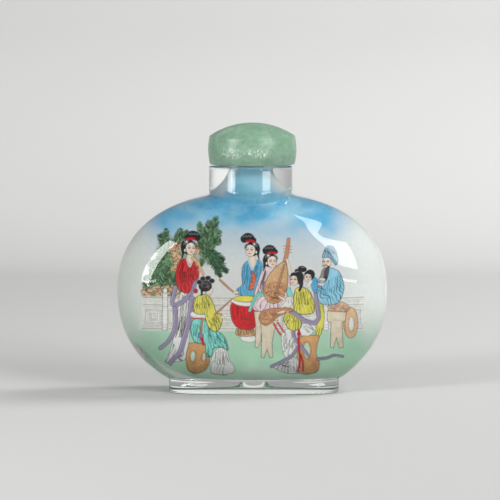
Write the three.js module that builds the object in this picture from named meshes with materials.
// A large snuff bottle for painting on the inside: a flat oval flask of clear glass with a round
// neck and an oval foot, closed by a domed green stone stopper on a cork plug.
// Units are millimetres. +Z is up, the two broad faces look along -Y and +Y, and the origin is
// the centre of the foot's underside.
import * as THREE from "three";

// ---- Driving dimensions ----

// The body is a superellipsoid about (0, 0, centreZ), ground flat on both broad faces.
const BODY = {
  halfWidth: 43.4, // along X
  centreZ: 32.3, // height of the widest place
  riseUp: 31.7, // from the centre to where the outline would close under the neck
  riseDown: 35.0, // from the centre to where the outline would close below the foot
  fullnessUp: 2.3, // exponents of the outline: 2 is an ellipse, more is squarer
  fullnessDown: 2.2,
  bulge: 20.0, // half depth that the round form would have if it weren't ground flat
  bulgeFullness: 2.3,
  flatDepth: 16.5, // half depth, from the mid-plane to a ground face
  edgeSoftness: 1.2, // how far the edge of a ground face is rounded off
};

// Hand work left the foot a little to +X of the body's middle, and the neck a little to -X.
const SWAY = { foot: 0.5, footToZ: 10, neck: -0.5, neckFromZ: 58, neckToZ: 65 };

// The hollow follows the body, and leans to +X below its middle, so the glass is thicker on the left.
const CAVITY = {
  halfWidth: 39.6,
  centreZ: 32.3,
  riseUp: 29.2,
  riseDown: 26.6, // the floor lies this far below the centre
  fullnessUp: 2.3,
  fullnessDown: 2.35,
  bulge: 17.0,
  bulgeFullness: 2.5,
  flatDepth: 13.3,
  edgeSoftness: 1.5,
};
const CAVITY_LEAN = 3.1; // sideways shift of the hollow's floor

const FOOT = { halfWidth: 27.4, halfDepth: 13.6, height: 4.5, squareness: 3.6, bevel: 0.5 };
const NECK = { radius: 13.4, fillet: 1.2, flareFromZ: 55, straightFromZ: 65, lipZ: 72.5, lipRound: 0.3 };

// The bore opens downwards like a trumpet.
const BORE = { mouthRadius: 4.4, slope: 0.1, flare: 0.045, widest: 12, blend: 1.0 };

// Over the shoulders each section turns from the body's own into a superellipse, and then a circle.
const SHOULDER = { fromZ: 48, toZ: 63, circleZ: 65, squareness: 2.4 };

const STOPPER = {
  undersideZ: 73.0,
  undersideRadius: 13.7,
  undersideRound: 0.4,
  bellyRadius: 14.2, // widest place of the side
  bellyZ: 77.6,
  shoulderRadius: 13.85, // where the side would meet the dome
  shoulderRound: 0.6,
  topZ: 86.3,
  domeRadius: 24.3,
};
const PLUG = { topRadius: 4.25, tipRadius: 4.0, length: 4.2, tipRound: 0.4 };

// Facets: columns round each form, and rings up each stretch of it.
const COLUMNS = 64;
const BODY_RINGS = 22;
const CAVITY_RINGS = 16;
const BORE_RINGS = 6;
const STOPPER_SIDES = 48;
const PLUG_SIDES = 24;

const COLOURS = { glass: 0xe6ece6, stone: 0x86a98f, cork: 0xb08a62 };

// ---- Section formulas ----

const power = (value, exponent) => Math.pow(Math.abs(value), exponent);
const softMax = (a, b, blend) => (a + b + Math.hypot(a - b, blend)) / 2;
const softMin = (a, b, blend) => (a + b - Math.hypot(a - b, blend)) / 2;

// 0 at the form's centre, 1 on its outline in the XZ plane.
function outlineShare(form, x, z) {
  const above = z >= form.centreZ;
  const exponent = above ? form.fullnessUp : form.fullnessDown;
  const rise = above ? form.riseUp : form.riseDown;
  return (power(x / form.halfWidth, exponent) + power((z - form.centreZ) / rise, exponent)) ** (1 / exponent);
}

// Half depth, along Y, of the form above the point (x, z) of its mid-plane.
function halfDepth(form, x, z) {
  const share = Math.min(outlineShare(form, x, z), 1);
  const round = form.bulge * (1 - share ** form.bulgeFullness) ** (1 / form.bulgeFullness);
  return Math.max(softMin(round, form.flatDepth, form.edgeSoftness), 0);
}

// Distance from the axis to the form's surface at height z, in the direction of an angle about Z.
function formRadius(form, angle, z) {
  let inside = 0;
  let outside = form.halfWidth;
  for (let step = 0; step < 40; step++) {
    const middle = (inside + outside) / 2;
    const x = middle * Math.cos(angle);
    const y = middle * Math.abs(Math.sin(angle));
    const within = outlineShare(form, x, z) < 1 && y < halfDepth(form, x, z);
    if (within) inside = middle;
    else outside = middle;
  }
  return inside;
}

// From front to back the neck flares until it meets the ground faces.
function neckHalfDepth(z) {
  const climb = THREE.MathUtils.smoothstep(z, NECK.flareFromZ, NECK.straightFromZ);
  return THREE.MathUtils.lerp(BODY.flatDepth, NECK.radius, climb);
}

function boreRadius(z) {
  const below = NECK.lipZ - z;
  return BORE.mouthRadius + BORE.slope * below + BORE.flare * below ** 2;
}

// Radius of a superellipse, in the direction of an angle.
function superellipse(angle, halfWidth, halfDepth, squareness) {
  const sum = power(Math.cos(angle) / halfWidth, squareness) + power(Math.sin(angle) / halfDepth, squareness);
  return sum ** (-1 / squareness);
}

const footRadius = (angle, inset = 0) =>
  superellipse(angle, FOOT.halfWidth - inset, FOOT.halfDepth - inset, FOOT.squareness);

// The neck and the shoulders that it runs into, as one superellipse at each height.
function shoulderRadius(angle, z) {
  const halfWidth = softMax(formRadius(BODY, 0, z), NECK.radius, NECK.fillet);
  const toCircle = THREE.MathUtils.smoothstep(z, SHOULDER.toZ, SHOULDER.circleZ);
  const squareness = THREE.MathUtils.lerp(SHOULDER.squareness, 2, toCircle);
  return superellipse(angle, halfWidth, neckHalfDepth(z), squareness);
}

function outerRadius(angle, z) {
  if (z <= SHOULDER.fromZ) return formRadius(BODY, angle, z);
  const climb = THREE.MathUtils.smoothstep(z, SHOULDER.fromZ, SHOULDER.toZ);
  return THREE.MathUtils.lerp(formRadius(BODY, angle, z), shoulderRadius(angle, z), climb);
}

function innerRadius(angle, z) {
  const radius = formRadius(CAVITY, angle, z);
  if (z <= SHOULDER.fromZ) return radius;
  const blend = BORE.blend * THREE.MathUtils.smoothstep(z, SHOULDER.fromZ, SHOULDER.toZ);
  return softMax(radius, Math.min(boreRadius(z), BORE.widest), blend);
}

const swayAt = (z) =>
  SWAY.foot * (1 - THREE.MathUtils.smoothstep(z, FOOT.height, SWAY.footToZ)) +
  SWAY.neck * THREE.MathUtils.smoothstep(z, SWAY.neckFromZ, SWAY.neckToZ);

// ---- Rings ----

// Heights that step evenly round the form's outline, from one height to another.
function outlineHeights(form, fromZ, toZ, count) {
  const turn = (z) => {
    const rise = z >= form.centreZ ? form.riseUp : form.riseDown;
    return Math.asin(THREE.MathUtils.clamp((z - form.centreZ) / rise, -1, 1));
  };
  return Array.from({ length: count }, (_, i) => {
    const at = THREE.MathUtils.lerp(turn(fromZ), turn(toZ), i / (count - 1));
    return form.centreZ + Math.sin(at) * (at >= 0 ? form.riseUp : form.riseDown);
  });
}

const evenHeights = (fromZ, toZ, count) =>
  Array.from({ length: count }, (_, i) => THREE.MathUtils.lerp(fromZ, toZ, i / (count - 1)));

// One closed ring of points. Columns crowd towards the narrow sides where the section is flat.
function ring(radiusAt, z, leanAt = swayAt) {
  const rounding = THREE.MathUtils.smoothstep(z, SHOULDER.fromZ, SHOULDER.circleZ);
  const flattening = THREE.MathUtils.lerp(BODY.flatDepth / BODY.halfWidth, 1, rounding);
  return Array.from({ length: COLUMNS }, (_, i) => {
    const turn = (2 * Math.PI * i) / COLUMNS;
    const angle = Math.atan2(flattening * Math.sin(turn), Math.cos(turn));
    const radius = radiusAt(angle, z);
    return new THREE.Vector3(radius * Math.cos(angle) + leanAt(z), radius * Math.sin(angle), z);
  });
}

// A closed skin over rings that run from the middle of one end to the middle of the other.
function skin(rings, firstCentre, lastCentre) {
  const points = [...rings.flat(), firstCentre, lastCentre];
  const indices = [];
  const at = (r, c) => r * COLUMNS + (c % COLUMNS);
  const first = points.length - 2;
  const last = points.length - 1;
  for (let c = 0; c < COLUMNS; c++) {
    indices.push(first, at(0, c + 1), at(0, c));
    for (let r = 0; r + 1 < rings.length; r++) {
      indices.push(at(r, c), at(r, c + 1), at(r + 1, c));
      indices.push(at(r, c + 1), at(r + 1, c + 1), at(r + 1, c));
    }
    indices.push(last, at(rings.length - 1, c), at(rings.length - 1, c + 1));
  }
  const geometry = new THREE.BufferGeometry().setFromPoints(points);
  geometry.setIndex(indices);
  geometry.computeVertexNormals();
  return geometry;
}

// ---- Pieces ----

// Foot, body and neck outside, then over the lip, down the bore and round the hollow to its floor.
function bottleGeometry() {
  const neckZ = BODY.centreZ + BODY.riseUp; // the outline closes here, and only the neck goes on
  const sink = (z) => THREE.MathUtils.clamp((CAVITY.centreZ - z) / CAVITY.riseDown, 0, 1);
  const lean = (z) => CAVITY_LEAN * sink(z) + Math.min(swayAt(z), 0);
  const floorZ = CAVITY.centreZ - CAVITY.riseDown;
  const throatZ = CAVITY.centreZ + CAVITY.riseUp * 0.97;
  const rings = [
    ring((angle) => footRadius(angle, FOOT.bevel), 0),
    ring((angle) => footRadius(angle), FOOT.bevel),
    ring((angle) => footRadius(angle), FOOT.height),
    ...outlineHeights(BODY, FOOT.height, neckZ, BODY_RINGS).map((z) => ring(outerRadius, z)),
    ring(outerRadius, NECK.straightFromZ),
    ring(outerRadius, NECK.lipZ - NECK.lipRound),
    ring(() => NECK.radius - NECK.lipRound, NECK.lipZ),
    ring(() => BORE.mouthRadius, NECK.lipZ),
    ...evenHeights(NECK.lipZ - 1.5, throatZ + 1, BORE_RINGS).map((z) => ring(innerRadius, z)),
    ...outlineHeights(CAVITY, throatZ, floorZ + 0.12, CAVITY_RINGS).map((z) => ring(innerRadius, z, lean)),
  ];
  return skin(rings, new THREE.Vector3(0, 0, 0), new THREE.Vector3(lean(floorZ), 0, floorZ));
}

// The stopper's section: flat underside, swelling side, eased shoulder and a low spherical dome.
function stopperGeometry() {
  const s = STOPPER;
  const domeCentreZ = s.topZ - s.domeRadius;
  const domeZ = (radius) => domeCentreZ + Math.sqrt(s.domeRadius ** 2 - radius ** 2);
  const cornerZ = domeZ(s.shoulderRadius);
  const domeEdge = s.shoulderRadius - s.shoulderRound;
  const section = new THREE.Path();
  section.moveTo(0, s.undersideZ);
  section.lineTo(s.undersideRadius - s.undersideRound, s.undersideZ);
  section.lineTo(s.undersideRadius, s.undersideZ + s.undersideRound);
  section.quadraticCurveTo(s.bellyRadius, s.undersideZ + 2, s.bellyRadius, s.bellyZ);
  section.quadraticCurveTo(s.bellyRadius, cornerZ - 1.5, s.shoulderRadius, cornerZ - s.shoulderRound);
  section.quadraticCurveTo(s.shoulderRadius, cornerZ, domeEdge, domeZ(domeEdge));
  const domeStart = Math.acos(domeEdge / s.domeRadius);
  section.absarc(0, domeCentreZ, s.domeRadius, domeStart, Math.PI / 2, false);
  return latheAboutZ(section.getPoints(6), STOPPER_SIDES);
}

// A tapered cork that wedges in the bore and holds the stopper just clear of the lip.
function plugGeometry() {
  const topZ = STOPPER.undersideZ;
  const tipZ = topZ - PLUG.length;
  // The plug stands in the bore's axis, which the neck's sway puts beside the stopper's.
  const section = [
    new THREE.Vector2(0, tipZ),
    new THREE.Vector2(PLUG.tipRadius - PLUG.tipRound, tipZ),
    new THREE.Vector2(PLUG.tipRadius, tipZ + PLUG.tipRound),
    new THREE.Vector2(PLUG.topRadius, topZ),
    new THREE.Vector2(0, topZ),
  ];
  return latheAboutZ(section, PLUG_SIDES).translate(SWAY.neck, 0, 0);
}

// LatheGeometry turns its profile about Y; this stands it up about Z.
function latheAboutZ(section, sides) {
  return new THREE.LatheGeometry(section, sides).rotateX(Math.PI / 2);
}

function piece(name, geometry, colour, finish) {
  const made = new THREE.Mesh(geometry, new THREE.MeshStandardMaterial({ color: colour, ...finish }));
  made.name = name;
  return made;
}

const stopper = new THREE.Group();
stopper.add(
  piece("stopper_cap", stopperGeometry(), COLOURS.stone, { roughness: 0.35, metalness: 0 }),
  piece("stopper_cork", plugGeometry(), COLOURS.cork, { roughness: 0.9, metalness: 0 }),
);

const snuffBottle = new THREE.Group();
snuffBottle.add(
  piece("glass_bottle", bottleGeometry(), COLOURS.glass, {
    roughness: 0.05,
    metalness: 0,
    transparent: true,
    opacity: 0.35,
  }),
  stopper,
);

export default snuffBottle;
